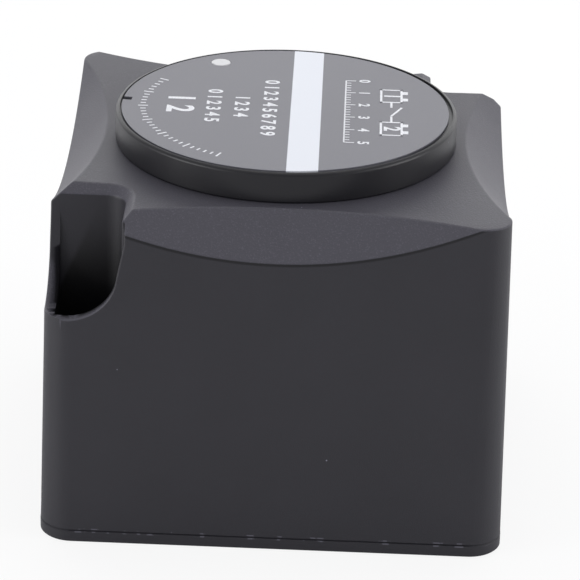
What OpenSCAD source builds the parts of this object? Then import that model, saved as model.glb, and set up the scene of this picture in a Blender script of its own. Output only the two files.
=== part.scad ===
// Battery isolator relay: a contactor and its control board in a square moulded housing.
// Millimetres. Origin at the centre of the mounting face, +Z up.
// The corner pockets lie at -X -Y and +X +Y, and the terminals stand out of the +Y side.

/* [Housing] */
// Width and depth of the housing at its foot
body_w = 68; // [64:0.5:80]
// Radius of the upright corners at the foot
corner_r = 4.9; // [4:0.1:7]
// How far each side leans in from the foot to the corner tips
draft_in = 1.1; // [0.4:0.1:1.4]
// Height of the top face where the cap stands on it
top_z = 51.5; // [50.5:0.25:56]
// Slope of the top face, rise per unit of run towards the corner tips
top_slope_share = 0.02; // [0:0.005:0.08]
// Height of the lowest point of each side's arched edge
arch_z = 45.5; // [44.8:0.1:47]
// Radius of the round scoop that cuts each arched edge
scoop_r = 96; // [85:1:120]
// Lean of the scoop, in degrees from the horizontal
scoop_lean = 45; // [40:1:48]
// How much further in the scoop of the terminal side lies
back_scoop_inset = 1.4; // [0:0.1:1.5]
// Thickness of the side walls under the roof
wall_t = 2.4; // [1.8:0.1:2.8]
// Height of the ceiling of the square cavity
ceiling_z = 43.4; // [43:0.1:44]

/* [Base plate] */
// Thickness of the base plate
base_t = 1.9; // [1.5:0.1:2.5]
// Height of the lip that stands up inside the housing
lip_h = 1.4; // [1:0.1:2]
// Thickness of that lip
lip_t = 1.2; // [0.8:0.1:1.6]

/* [Fixing pockets] */
// Thickness of the lip outside each pocket, measured from the foot's outline
pocket_lip = 2.4; // [2.2:0.1:3]
// Width of each square pocket
pocket_w = 9.6; // [8.8:0.1:10]
// Radius of the pocket's inmost upright corner
pocket_r = 3; // [2:0.25:4]
// Height of the pocket's floor
pocket_floor_z = 8; // [6:0.5:12]
// Radius of the round lower corner of the window in each outer wall
window_r = 7.4; // [7:0.1:7.8]
// Height of the centre of that round
window_z = 43; // [42:0.2:44]
// Distance from the foot's outline to the centre of that round
window_inset = 4; // [3.6:0.1:4.4]
// Distance from the foot's outline to the upright edge of the window that faces -Y
window_edge_inset = 12.45; // [12.2:0.05:12.7]
// Height where the window's tapered side meets that edge
window_edge_z = 47.5; // [46.5:0.25:48.5]
// Width of the bevel round the pocket's mouth
mouth_bevel = 1.4; // [0.8:0.1:1.8]
// Thickness of the walls that enclose a pocket
pocket_wall = 1.6; // [1.2:0.1:1.7]

/* [Cap and label] */
// Outer radius of the round cap
cap_r = 25.4; // [24.5:0.1:25.8]
// Height of the cap's rim above the top face
cap_h = 4.6; // [4:0.1:6]
// Gap between the label disc and the cap's rim
label_gap = 0.4; // [0.35:0.05:1.2]
// Thickness of the label disc
label_t = 0.4; // [0.3:0.05:0.6]
// Radius of the lamp window
lens_r = 1.5; // [1.2:0.1:2.4]
// Distance of the lamp window's centre from the cap's outer edge
lens_inset = 4.1; // [3.8:0.1:7.4]
// Direction of the lamp window, in degrees from +X
lens_turn = 120.3; // [115:0.5:125]

/* [Terminals] */
// Distance between the two terminal studs
stud_pitch = 26; // [25:0.5:27]
// Height of the studs' axis above the mounting face
stud_z = 20; // [19:0.5:22]
// Radius of the studs
stud_r = 4; // [3:0.25:4.2]
// Thickness of the washers under the nuts
washer_t = 1.6; // [1.2:0.1:2]
// Radius of the washers
washer_r = 8; // [7:0.1:8.4]
// Thickness of the split spring washers
spring_washer_t = 2; // [1.6:0.1:2.4]
// Radius of the split spring washers
spring_washer_r = 7.2; // [6.5:0.1:7.5]
// Width across the flats of the nuts
nut_af = 13; // [10:0.5:14]
// Thickness of the nuts
nut_t = 6.5; // [5:0.5:7]
// Length of stud left free beyond the nut
stud_free = 5; // [4:0.5:8]

/* [Fixing bushes] */
// Radius of the fixing hole through each bush
bush_bore_r = 2.7; // [2.2:0.1:3]
// Outer radius of the bushes
bush_r = 3.7; // [3.4:0.1:4.2]

/* [Contactor] */
// How far the plunger travels
travel = 2.4; // [2:0.1:2.8]
// Gap between the open contacts
contact_gap = 1.6; // [1.2:0.1:1.8]
// Radius of the plunger
plunger_r = 5.3; // [4.8:0.1:5.5]
// Radius of the push rod
rod_r = 1.5; // [1.2:0.1:1.7]
// Radius of the bobbin's flanges
bobbin_r = 14.5; // [13.5:0.25:15]
// Height of the bobbin
bobbin_h = 22; // [21.5:0.25:22.5]
// Wire radius of the return spring
return_wire_r = 0.3; // [0.2:0.05:0.4]
// Wire radius of the contact spring
contact_wire_r = 0.3; // [0.2:0.05:0.35]

/* [Circuit board] */
// Radius of the round circuit board
pcb_r = 22.2; // [21.8:0.1:22.4]
// Thickness of the circuit board
pcb_t = 1.6; // [1:0.1:1.8]
// Height of the underside of the board
pcb_z = 44.8; // [44.6:0.1:45.4]

/* [Hidden] */
$fn = 80;

// Shared small values
eps = 0.01;
cut_over = 1;
fit_gap = 0.05;
slide_gap = 0.08;
seat_gap = 0.1;
smooth_fn = 280;

// Side of the housing at a height, measured from the centre line
half_w = body_w / 2;
corner_at = half_w - corner_r;
rim_z = top_z + top_slope_share * (corner_at * sqrt(2) + corner_r - cap_r);
block_z = rim_z + cut_over;
draft_slope = draft_in / rim_z;
function side_at(z) = half_w - draft_slope * z;

// Cavity and the round chamber above it
cavity_half = side_at(ceiling_z) - wall_t;
cavity_r = 3.5;
board_rest = 1.4;
board_gap = 0.4;
ledge_r = pcb_r - board_rest;
chamber_r = pcb_r + board_gap;

// Grooves, bosses and screws of the base
seal_w = 1.3;
seal_h = 1.2;
seal_squash = 0.1;
seal_edge = 1.1;
seal_half = half_w - seal_edge - seal_w;
seal_corner_r = corner_r - seal_edge;
base_boss_r = 3;
base_boss_top = 14;
screw_r = 1.4;
screw_len = 9;
screw_head_r = 2.7;
screw_head_h = 1.4;
screw_slot_r = 1.2;
screw_slot_h = 0.8;
screw_slot_w = 0.5;
boss_sink = 0.4;
free_corner_at = cavity_half - base_boss_r + boss_sink;
side_boss_x = cavity_half - base_boss_r + boss_sink;
side_boss_y = 8;
base_screw_places = [
    [free_corner_at, -free_corner_at],
    [-free_corner_at, free_corner_at],
    [side_boss_x, side_boss_y],
    [-side_boss_x, -side_boss_y]
];
edge_bevel = 0.5;
foot_bevel = 0.2;
seam_bevel = 0.2;
pad_h = 1.1;
pad_r = 3;
pad_inset_x = 6;
pad_inset_y = 4;

// Pockets
pocket_out = half_w - pocket_lip;
pocket_in = pocket_out - pocket_w;
window_at = half_w - window_inset;
window_edge = half_w - window_edge_inset;
bush_at = (pocket_in + pocket_out) / 2;
pocket_enclosure = pocket_in - pocket_wall;
window_lap = 0.05;
sill_z = window_z - window_r + window_lap;

// Cap and label
cap_edge_r = 0.5;
cap_rim_t = 0.6;
cap_top_z = top_z + cap_h;
label_drop = 0.05;
label_r = cap_r - cap_rim_t - label_gap;
label_x = -0.2;
label_y = 0.25;
cap_roof_t = 2.2;
cap_skirt_t = 2.8;
cap_skirt_gap = 0.2;
cap_skirt_r = chamber_r - cap_skirt_gap;
cap_skirt_z = pcb_z + pcb_t + fit_gap;
cap_roof_z = cap_top_z - label_t - label_drop - cap_roof_t;
cap_seal_cord_r = 0.65;
cap_seal_z = (cap_skirt_z + top_z) / 2;
lens_reach = cap_r - lens_inset;
lens_foot_h = 1.2;
lens_foot_w = 3;
lamp_r = 1.5;
lamp_h = 2;
lamp_gap = 0.7;
lamp_reach = cap_skirt_r - cap_skirt_t - lamp_r - lamp_gap;

// Contactor stack, from the base plate up
coil_x = 0;
coil_y = -4;
frame_t = 2;
frame_z = base_t + pad_h;
tip_r = 3;
bridge_len = stud_pitch + 2 * tip_r;
bridge_end_gap = 1;
carrier_wall_x = 2;
coil_pin_r = 0.4;
coil_pin_inset = 1.3;
frame_pin_gap = 0.8;
frame_w = bridge_len + 2 * (carrier_wall_x + bridge_end_gap);
frame_d = 2 * (bobbin_r - coil_pin_inset - coil_pin_r - frame_pin_gap);
bobbin_z = frame_z + frame_t;
bobbin_flange_t = 1.5;
bobbin_tube_t = 1.3;
bobbin_bore_r = plunger_r + slide_gap;
winding_inset = 0.9;
winding_r = bobbin_r - winding_inset;
pole_z = bobbin_z + bobbin_h;
pole_t = 2.5;
core_len = 10.2;
core_neck_r = 4.5;
core_z = pole_z - core_len;
rod_hole_r = rod_r + slide_gap;
plunger_z = bobbin_z + seat_gap;
plunger_top = core_z - travel - seat_gap;
spring_pocket_r = 3.7;
plunger_pocket = 4.3;
core_pocket = 3.2;
return_mean_r = 2.9;
return_turns = 6;
return_z0 = plunger_top - plunger_pocket;
return_z1 = core_z + core_pocket;
rod_seat = 1;
rod_z = plunger_z + rod_seat;
collar_r = 3.2;
collar_t = 1;
collar_rest = 1;
collar_z = pole_z + pole_t + collar_rest;
contact_mean_r = 2.5;
contact_turns = 2.25;
contact_spring_h = 3;
bridge_z = collar_z + collar_t + contact_spring_h;
bridge_t = 1.8;
bridge_w = 8;
tip_t = 1;
clip_r = 3;
clip_t = 0.6;
clip_z = bridge_z + bridge_t + fit_gap;
clip_gap_w = 1.6;
groove_depth = 0.4;
rod_end = 1;
rod_top = clip_z + clip_t + rod_end;
fixed_tip_z = bridge_z + bridge_t + tip_t + contact_gap + fit_gap;
bar_z = fixed_tip_z + tip_t;
bar_t = 2;
bar_w = 10;
bar_reach = 11;
bar_front = coil_y - bar_reach;
boss_inset = 8;
boss_in_y = half_w - boss_inset;
leg_foot = 8;
leg_y = boss_in_y - bar_t;
leg_z = stud_z - leg_foot;
carrier_z = pole_z + pole_t;
carrier_h = bar_z - carrier_z;
carrier_wall_y = 3.4;
bar_screw_r = 1.2;
bar_screw_head_r = 2.2;
bar_screw_head_h = 1.2;
bar_screw_len = 6;
bar_screw_y = coil_y - frame_d / 2 + carrier_wall_y / 2;

// Terminals
stud_hole_gap = 0.15;
stud_hole_r = stud_r + stud_hole_gap;
stud_head_r = 6.3;
stud_head_t = 3;
stud_boss_r = 8.6;
boss_out = 1.2;
boss_face_y = side_at(stud_z - stud_boss_r) + boss_out;
seal_groove_depth = 1.6;
seal_groove_r = stud_r + seal_groove_depth;
seal_groove_w = 1.8;
seal_groove_inset = 4;
seal_groove_y = half_w - seal_groove_inset;
stud_seal_cord_r = 0.7;
washer_y = boss_face_y;
spring_washer_y = washer_y + washer_t;
spring_washer_split = 1.2;
spring_washer_turn = 20;
nut_y = spring_washer_y + spring_washer_t;
stud_end_y = nut_y + nut_t + stud_free;
stud_chamfer = 0.8;
barrier_t = 2.4;
barrier_reach = 11;
barrier_z0 = stud_z - barrier_reach;
barrier_z1 = stud_z + barrier_reach;
barrier_edge_r = 1.5;
barrier_y = nut_y + nut_t;

// Gland for the negative lead
gland_inset = 15;
gland_x = gland_inset - half_w;
gland_z = 7.6;
gland_flange_r = 3.6;
gland_flange_t = 1.2;
gland_neck_r = 2.6;
gland_bore_r = 1.5;

// Board parts
chip_t = 1.6;
pin_r = 0.6;
pin_gap = 0.05;
pin_proud = 0.8;
sense_pin_y = 12;
coil_pin_x = 4;
coil_pin_y = coil_y - bobbin_r + coil_pin_inset;
coil_pin_sink = 1;
cap_can_r = 3.15;
cap_can_h = 5.2;

// Places on the board, and the width and depth of each chip, as shares of the board's radius
capacitor_shares = [[0.4, -0.54], [0.68, -0.18]];
chip_shares = [
    [-0.18, 0.09, 0.22, 0.27],
    [0.27, 0.18, 0.29, 0.27],
    [-0.54, -0.27, 0.18, 0.22],
    [0.09, -0.4, 0.14, 0.14]
];
resistor_shares = [
    [-0.54, 0.18], [-0.54, 0.29], [-0.4, 0.54], [-0.18, 0.63], [0, 0.63], [0.18, 0.63],
    [-0.36, -0.54], [-0.36, -0.68], [-0.14, -0.63]
];
resistor_w = 2;
resistor_d = 1.25;
resistor_h = 0.6;

// A square prism with upright round corners, centred on the Z axis
module rounded_square(half, r, z0, z1) {
    translate([0, 0, z0])
        linear_extrude(height = z1 - z0)
            union() {
                square([2 * half, 2 * (half - r)], center = true);
                square([2 * (half - r), 2 * half], center = true);
                for (sx = [-1, 1], sy = [-1, 1])
                    translate([sx * (half - r), sy * (half - r)])
                        circle(r = r);
            }
}

// The part of such a block between its corners, as one extruded side profile
module leaning_slab(z0, z1, in0, in1) {
    rotate([90, 0, 0])
        translate([0, 0, -corner_at])
            linear_extrude(height = 2 * corner_at)
                polygon([
                    [-half_w + in0, z0],
                    [half_w - in0, z0],
                    [half_w - in1, z1],
                    [-half_w + in1, z1]
                ]);
}

// A block with round upright corners whose sides lie in0 and in1 inside the foot's outline
module leaning_block(z0, z1, in0, in1) {
    leaning_slab(z0, z1, in0, in1);
    rotate([0, 0, 90])
        leaning_slab(z0, z1, in0, in1);
    for (sx = [-1, 1], sy = [-1, 1])
        translate([sx * corner_at, sy * corner_at, z0])
            cylinder(h = z1 - z0, r1 = corner_r - in0, r2 = corner_r - in1);
}

// One large round cut that leans inwards and leaves the arched edge on the -Y side
module side_scoop(inset) {
    translate([0, inset - side_at(arch_z), arch_z])
        rotate([scoop_lean, 0, 0])
            translate([0, 0, scoop_r])
                rotate([90, 0, 0])
                    cylinder(r = scoop_r, h = 2 * body_w, center = true, $fn = smooth_fn);
}

// What lies above the gently rising top face
module above_top() {
    rotate_extrude()
        polygon([
            [0, top_z],
            [cap_r, top_z],
            [body_w, top_z + top_slope_share * (body_w - cap_r)],
            [body_w, top_z + body_w],
            [0, top_z + body_w]
        ]);
}

// Pocket in the -X -Y corner: a square well with its inmost corner rounded, a window in each
// outer wall and a bevelled mouth
module pocket_cut() {
    translate([-bush_at, -bush_at, 0])
        rounded_square(pocket_w / 2, pocket_r, pocket_floor_z, top_z + cut_over);
    window_side(window_edge);
    rotate([0, 0, 90])
        mirror([0, 1, 0])
            window_side(pocket_in);
    translate([-pocket_out - window_lap, -pocket_out - window_lap, sill_z])
        cube([pocket_r + 2 * window_lap, pocket_r + 2 * window_lap, body_w]);
    pocket_mouth();
}

// One window, with the well square behind it
module window_side(edge) {
    window_cut(edge);
    translate([-pocket_out, -pocket_out, pocket_floor_z])
        cube([pocket_w, pocket_r + window_lap, body_w]);
}

// The window in the wall that faces -Y: a round lower corner under a tapered side
module window_cut(edge) {
    run = window_at - edge;
    climb = window_edge_z - window_z;
    inside_r = window_r - window_lap;
    touch = atan2(climb, run) - acos(inside_r / sqrt(run * run + climb * climb));
    translate([0, -pocket_out, 0])
        rotate([90, 0, 0])
            linear_extrude(height = body_w)
                union() {
                    translate([-window_at, window_z])
                        circle(r = window_r);
                    polygon([
                        [-window_at, sill_z],
                        [-window_at, window_z],
                        [-window_at + inside_r * cos(touch), window_z + inside_r * sin(touch)],
                        [-edge, window_edge_z],
                        [-edge, body_w],
                        [-body_w, body_w],
                        [-body_w, sill_z]
                    ]);
                }
}

// The bevel: two sloping cuts along the near walls, and a cone in their corner
module pocket_mouth() {
    mouth_z = top_z - mouth_bevel + top_slope_share * (bush_at * sqrt(2) - cap_r);
    rise = mouth_bevel + cut_over;
    translate([-pocket_in - pocket_r, -pocket_in - pocket_r, mouth_z])
        cylinder(h = rise, r1 = pocket_r, r2 = pocket_r + rise);
    mouth_run(mouth_z, rise);
    rotate([0, 0, 90])
        mirror([0, 1, 0])
            mouth_run(mouth_z, rise);
}

// The straight cut of the bevel along the pocket's wall that faces -Y
module mouth_run(mouth_z, rise) {
    translate([-half_w, 0, 0])
        rotate([90, 0, 90])
            linear_extrude(height = half_w - pocket_in - pocket_r)
                polygon([
                    [-pocket_in, mouth_z],
                    [-pocket_in + rise, mouth_z + rise],
                    [-half_w, mouth_z + rise],
                    [-half_w, mouth_z]
                ]);
}

// Walls that enclose the pocket inside the cavity
module pocket_walls() {
    span = half_w - pocket_enclosure - wall_t;
    translate([-pocket_enclosure - span, -pocket_enclosure - span, base_t])
        cube([span, span, ceiling_z - base_t + eps]);
}

// Outer pads and inner bosses that carry the studs
module stud_bosses() {
    for (s = [-1, 1])
        translate([s * stud_pitch / 2, boss_in_y, stud_z])
            rotate([-90, 0, 0])
                cylinder(r = stud_boss_r, h = boss_face_y - boss_in_y);
}

// Insulating rib between the studs
module stud_barrier() {
    translate([-barrier_t / 2, side_at(barrier_z0) - wall_t, barrier_z0])
        cube([barrier_t, barrier_y - side_at(barrier_z0) + wall_t - barrier_edge_r, barrier_z1 - barrier_z0]);
    translate([-barrier_t / 2, side_at(barrier_z0) - wall_t, barrier_z0 + barrier_edge_r])
        cube([barrier_t, barrier_y - side_at(barrier_z0) + wall_t, barrier_z1 - barrier_z0 - 2 * barrier_edge_r]);
    for (z = [barrier_z0 + barrier_edge_r, barrier_z1 - barrier_edge_r])
        translate([-barrier_t / 2, barrier_y - barrier_edge_r, z])
            rotate([0, 90, 0])
                cylinder(r = barrier_edge_r, h = barrier_t);
}

// The cavity, less what stands in it
module cavity() {
    difference() {
        rounded_square(cavity_half, cavity_r, base_t - cut_over, ceiling_z);
        pocket_walls();
        rotate([0, 0, 180])
            pocket_walls();
        stud_bosses();
        for (p = base_screw_places)
            translate([p[0], p[1], base_t])
                cylinder(r = base_boss_r, h = base_boss_top - base_t);
    }
}

module housing() {
    color("#35343a")
    difference() {
        union() {
            difference() {
                union() {
                    leaning_block(base_t, base_t + seam_bevel, seam_bevel, draft_slope * (base_t + seam_bevel));
                    leaning_block(
                        base_t + seam_bevel, block_z,
                        draft_slope * (base_t + seam_bevel), draft_slope * block_z
                    );
                }
                for (a = [270, 0, 90])
                    rotate([0, 0, a])
                        side_scoop(0);
                rotate([0, 0, 180])
                    side_scoop(back_scoop_inset);
                above_top();
                cavity();
                translate([0, 0, ceiling_z - eps])
                    cylinder(r = ledge_r, h = top_z);
                translate([0, 0, pcb_z])
                    cylinder(r = chamber_r, h = top_z);
                pocket_cut();
                rotate([0, 0, 180])
                    pocket_cut();
            }
            difference() {
                stud_bosses();
                translate([-half_w, -half_w, 0])
                    cube([body_w, half_w + boss_in_y, rim_z]);
            }
            stud_barrier();
        }
        for (s = [-1, 1])
            translate([s * stud_pitch / 2, 0, stud_z])
                rotate([-90, 0, 0])
                    cylinder(r = stud_hole_r, h = body_w);
        for (s = [-1, 1])
            translate([s * stud_pitch / 2, seal_groove_y, stud_z])
                rotate([-90, 0, 0])
                    cylinder(r = seal_groove_r, h = seal_groove_w);
        for (p = base_screw_places)
            translate([p[0], p[1], base_t - cut_over])
                cylinder(r = screw_r + fit_gap, h = screw_len + cut_over);
        for (a = [0, 180])
            rotate([0, 0, a])
                translate([-bush_at, -bush_at, 0])
                    cylinder(r = bush_r + fit_gap, h = pocket_floor_z + cut_over);
        translate([gland_x, cavity_half - cut_over, gland_z])
            rotate([-90, 0, 0])
                cylinder(r = gland_neck_r + fit_gap, h = body_w);
        difference() {
            rounded_square(seal_half + seal_w, seal_corner_r, base_t - cut_over, base_t + seal_h);
            rounded_square(seal_half, seal_corner_r - seal_w, base_t - 2 * cut_over, base_t + 2 * seal_h);
        }
    }
}

module base_plate() {
    color("#2d2c31")
    difference() {
        union() {
            leaning_block(0, foot_bevel, foot_bevel, 0);
            leaning_block(foot_bevel, base_t - seam_bevel, 0, 0);
            leaning_block(base_t - seam_bevel, base_t, 0, seam_bevel);
            difference() {
                rounded_square(cavity_half - seat_gap, cavity_r, base_t - eps, base_t + lip_h);
                rounded_square(cavity_half - seat_gap - lip_t, cavity_r - lip_t, base_t - cut_over, base_t + 2 * lip_h);
                for (a = [0, 180])
                    rotate([0, 0, a])
                        translate([-half_w, -half_w, base_t])
                            cube([
                                half_w - pocket_enclosure + seat_gap,
                                half_w - pocket_enclosure + seat_gap,
                                2 * lip_h
                            ]);
                for (p = base_screw_places)
                    translate([p[0], p[1], base_t])
                        cylinder(r = base_boss_r + seat_gap, h = 2 * lip_h);
            }
            for (sx = [-1, 1], sy = [-1, 1])
                translate([
                    coil_x + sx * (frame_w / 2 - pad_inset_x),
                    coil_y + sy * (frame_d / 2 - pad_inset_y),
                    base_t - eps
                ])
                    cylinder(r = pad_r, h = pad_h + eps);
        }
        for (p = base_screw_places)
            translate([p[0], p[1], 0])
                screw_hole();
        for (a = [0, 180])
            rotate([0, 0, a])
                translate([-bush_at, -bush_at, -cut_over])
                    cylinder(r = bush_r + fit_gap, h = base_t + 2 * cut_over);
    }
}

// Countersunk hole for a base screw
module screw_hole() {
    translate([0, 0, -cut_over])
        cylinder(r = screw_r + seat_gap, h = base_t + 2 * cut_over);
    cylinder(h = screw_head_h, r1 = screw_head_r + fit_gap, r2 = screw_r + seat_gap);
    translate([0, 0, -cut_over])
        cylinder(r = screw_head_r + fit_gap, h = cut_over + eps);
}

module base_seal() {
    color("#1b1b1d")
    difference() {
        rounded_square(
            seal_half + seal_w - fit_gap, seal_corner_r,
            base_t, base_t + seal_h - seal_squash
        );
        rounded_square(
            seal_half + fit_gap, seal_corner_r - seal_w,
            base_t - cut_over, base_t + 2 * seal_h
        );
    }
}

module base_screws() {
    color("#8d8f93")
    for (p = base_screw_places)
        translate([p[0], p[1], 0])
            difference() {
                union() {
                    translate([0, 0, fit_gap])
                        cylinder(h = screw_head_h, r1 = screw_head_r, r2 = screw_r);
                    translate([0, 0, screw_head_h])
                        cylinder(r = screw_r, h = screw_len - screw_head_h);
                }
                for (a = [0, 90])
                    rotate([0, 0, a])
                        translate([-screw_slot_r, -screw_slot_w / 2, -cut_over])
                            cube([2 * screw_slot_r, screw_slot_w, screw_slot_h + cut_over]);
            }
}

module fixing_bushes() {
    color("#9b9da1")
    for (a = [0, 180])
        rotate([0, 0, a])
            translate([-bush_at, -bush_at, 0])
                difference() {
                    cylinder(r = bush_r, h = pocket_floor_z);
                    translate([0, 0, -cut_over])
                        cylinder(r = bush_bore_r, h = pocket_floor_z + 2 * cut_over);
                }
}

// One turned section: skirt with its seal groove, roof, wall and a thin rim round the label
module top_cap() {
    groove_r = cap_skirt_r - 2 * cap_seal_cord_r + cap_skirt_gap / 2;
    floor_z = cap_top_z - label_t - label_drop;
    edge_z = cap_top_z - cap_edge_r;
    color("#312f36")
    difference() {
        rotate_extrude()
            union() {
                difference() {
                    translate([0, cap_skirt_z])
                        square([cap_skirt_r, floor_z - cap_skirt_z]);
                    square([cap_skirt_r - cap_skirt_t, cap_roof_z]);
                    translate([groove_r, cap_seal_z - cap_seal_cord_r - fit_gap])
                        square([cap_skirt_t, 2 * (cap_seal_cord_r + fit_gap)]);
                }
                translate([cap_skirt_r - eps, top_z])
                    square([cap_r - cap_edge_r - cap_skirt_r + eps, floor_z - top_z]);
                translate([cap_r - cap_edge_r - eps, top_z])
                    square([cap_edge_r + eps, edge_z - top_z]);
                translate([cap_r - cap_rim_t, floor_z - eps])
                    square([cap_rim_t - cap_edge_r + eps, cap_top_z - floor_z + eps]);
                intersection() {
                    translate([cap_r - cap_edge_r, edge_z])
                        circle(r = cap_edge_r);
                    translate([cap_r - cap_edge_r, edge_z - eps])
                        square([cap_edge_r, cap_edge_r + eps]);
                }
            }
        light_pipe(fit_gap);
    }
}

// The light pipe: a window through the roof and a foot that reaches in over the lamp
module light_pipe(grow) {
    foot_z = cap_roof_z - lens_foot_h;
    rotate([0, 0, lens_turn])
        union() {
            translate([lens_reach, 0, foot_z - grow])
                cylinder(r = lens_r + grow, h = cap_top_z - foot_z + grow);
            translate([lamp_reach, 0, foot_z - grow])
                cylinder(r = lens_foot_w / 2 + grow, h = lens_foot_h + grow);
            translate([min(lamp_reach, lens_reach), -lens_foot_w / 2 - grow, foot_z - grow])
                cube([abs(lens_reach - lamp_reach), lens_foot_w + 2 * grow, lens_foot_h + grow]);
        }
}

module cap_seal() {
    color("#1b1b1d")
    rotate_extrude()
        translate([cap_skirt_r - cap_seal_cord_r + cap_skirt_gap / 2, cap_seal_z])
            circle(r = cap_seal_cord_r, $fn = 32);
}

module label_disc() {
    color("#8d8c94")
    difference() {
        translate([label_x, label_y, cap_top_z - label_t - label_drop])
            cylinder(r = label_r, h = label_t);
        rotate([0, 0, lens_turn])
            translate([lens_reach, 0, 0])
                cylinder(r = lens_r + fit_gap, h = 2 * cap_top_z);
    }
}

module lamp_lens() {
    color("#e6e6ea", 0.8)
    light_pipe(0);
}

module circuit_board() {
    color("#1f5b3a")
    difference() {
        translate([0, 0, pcb_z])
            cylinder(r = pcb_r, h = pcb_t);
        for (s = [-1, 1]) {
            translate([s * stud_pitch / 2, sense_pin_y, 0])
                cylinder(r = pin_r + pin_gap, h = body_w);
            translate([coil_x + s * coil_pin_x, coil_pin_y, 0])
                cylinder(r = coil_pin_r + pin_gap, h = body_w);
        }
    }
}

// A part that stands on the board: its middle, width and depth
module board_block(x, y, w, d, h) {
    translate([x - w / 2, y - d / 2, pcb_z + pcb_t])
        cube([w, d, h]);
}

module control_chips() {
    color("#232327")
    for (c = chip_shares)
        board_block(c[0] * pcb_r, c[1] * pcb_r, c[2] * pcb_r, c[3] * pcb_r, chip_t);
}

module capacitors() {
    color("#a9abb0")
    for (c = capacitor_shares)
        translate([c[0] * pcb_r, c[1] * pcb_r, pcb_z + pcb_t])
            cylinder(r = cap_can_r, h = cap_can_h);
}

module board_resistors() {
    color("#3a3a3c")
    for (c = resistor_shares)
        board_block(c[0] * pcb_r, c[1] * pcb_r, resistor_w, resistor_d, resistor_h);
}

module status_lamp() {
    color("#d8d2c0")
    rotate([0, 0, lens_turn])
        translate([lamp_reach, 0, pcb_z + pcb_t])
            union() {
                cylinder(r = lamp_r, h = lamp_h);
                translate([0, 0, lamp_h])
                    intersection() {
                        sphere(r = lamp_r, $fn = 48);
                        translate([-lamp_r, -lamp_r, -eps])
                            cube([2 * lamp_r, 2 * lamp_r, lamp_r + eps]);
                    }
            }
}

module sense_pins() {
    color("#c9a24b")
    for (s = [-1, 1])
        translate([s * stud_pitch / 2, sense_pin_y, bar_z + bar_t])
            cylinder(r = pin_r, h = pcb_z + pcb_t + pin_proud - bar_z - bar_t);
}

module coil_pins() {
    color("#b9bbbf")
    for (s = [-1, 1])
        translate([coil_x + s * coil_pin_x, coil_pin_y, pole_z - coil_pin_sink])
            cylinder(r = coil_pin_r, h = pcb_z + pcb_t + pin_proud - pole_z + coil_pin_sink);
}

// Steel channel under and beside the coil
module magnet_frame() {
    color("#8f9296")
    translate([coil_x - frame_w / 2, coil_y - frame_d / 2, frame_z])
        union() {
            cube([frame_w, frame_d, frame_t]);
            cube([frame_t, frame_d, pole_z - frame_z]);
            translate([frame_w - frame_t, 0, 0])
                cube([frame_t, frame_d, pole_z - frame_z]);
        }
}

// Steel plate that closes the channel and holds the core
module pole_plate() {
    color("#8f9296")
    difference() {
        translate([coil_x - frame_w / 2, coil_y - frame_d / 2, pole_z])
            cube([frame_w, frame_d, pole_t]);
        translate([coil_x, coil_y, 0])
            cylinder(r = core_neck_r + fit_gap, h = body_w);
    }
}

module pole_core() {
    color("#a4a7ab")
    translate([coil_x, coil_y, 0])
        difference() {
            union() {
                translate([0, 0, core_z])
                    cylinder(r = plunger_r, h = core_len);
                translate([0, 0, pole_z])
                    cylinder(r = core_neck_r, h = pole_t);
            }
            cylinder(r = rod_hole_r, h = body_w);
            translate([0, 0, core_z - cut_over])
                cylinder(r = spring_pocket_r, h = core_pocket + cut_over);
        }
}

module coil_bobbin() {
    color("#d9d4c6")
    translate([coil_x, coil_y, bobbin_z])
        difference() {
            union() {
                cylinder(r = bobbin_r, h = bobbin_flange_t);
                cylinder(r = bobbin_bore_r + bobbin_tube_t, h = bobbin_h);
                translate([0, 0, bobbin_h - bobbin_flange_t])
                    cylinder(r = bobbin_r, h = bobbin_flange_t);
            }
            translate([0, 0, -cut_over])
                cylinder(r = bobbin_bore_r, h = bobbin_h + 2 * cut_over);
            for (s = [-1, 1])
                translate([s * coil_pin_x, coil_pin_y - coil_y, bobbin_h - coil_pin_sink])
                    cylinder(r = coil_pin_r + pin_gap, h = bobbin_h);
        }
}

module coil_winding() {
    color("#b0632d")
    translate([coil_x, coil_y, bobbin_z + bobbin_flange_t + fit_gap])
        rotate_extrude()
            translate([bobbin_bore_r + bobbin_tube_t + fit_gap, 0])
                square([
                    winding_r - bobbin_bore_r - bobbin_tube_t - fit_gap,
                    bobbin_h - 2 * bobbin_flange_t - 2 * fit_gap
                ]);
}

module plunger() {
    color("#9a9da1")
    translate([coil_x, coil_y, 0])
        difference() {
            translate([0, 0, plunger_z])
                cylinder(r = plunger_r, h = plunger_top - plunger_z);
            translate([0, 0, return_z0])
                cylinder(r = spring_pocket_r, h = plunger_pocket + cut_over);
            translate([0, 0, rod_z])
                cylinder(r = rod_r + fit_gap, h = body_w);
        }
}

module push_rod() {
    color("#d3c48a")
    translate([coil_x, coil_y, 0])
        difference() {
            union() {
                translate([0, 0, rod_z])
                    cylinder(r = rod_r, h = rod_top - rod_z);
                translate([0, 0, collar_z])
                    cylinder(r = collar_r, h = collar_t);
            }
            difference() {
                translate([0, 0, clip_z - fit_gap / 2])
                    cylinder(r = 2 * rod_r, h = clip_t + fit_gap);
                translate([0, 0, clip_z - clip_t])
                    cylinder(r = rod_r - groove_depth, h = 3 * clip_t);
            }
        }
}

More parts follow.
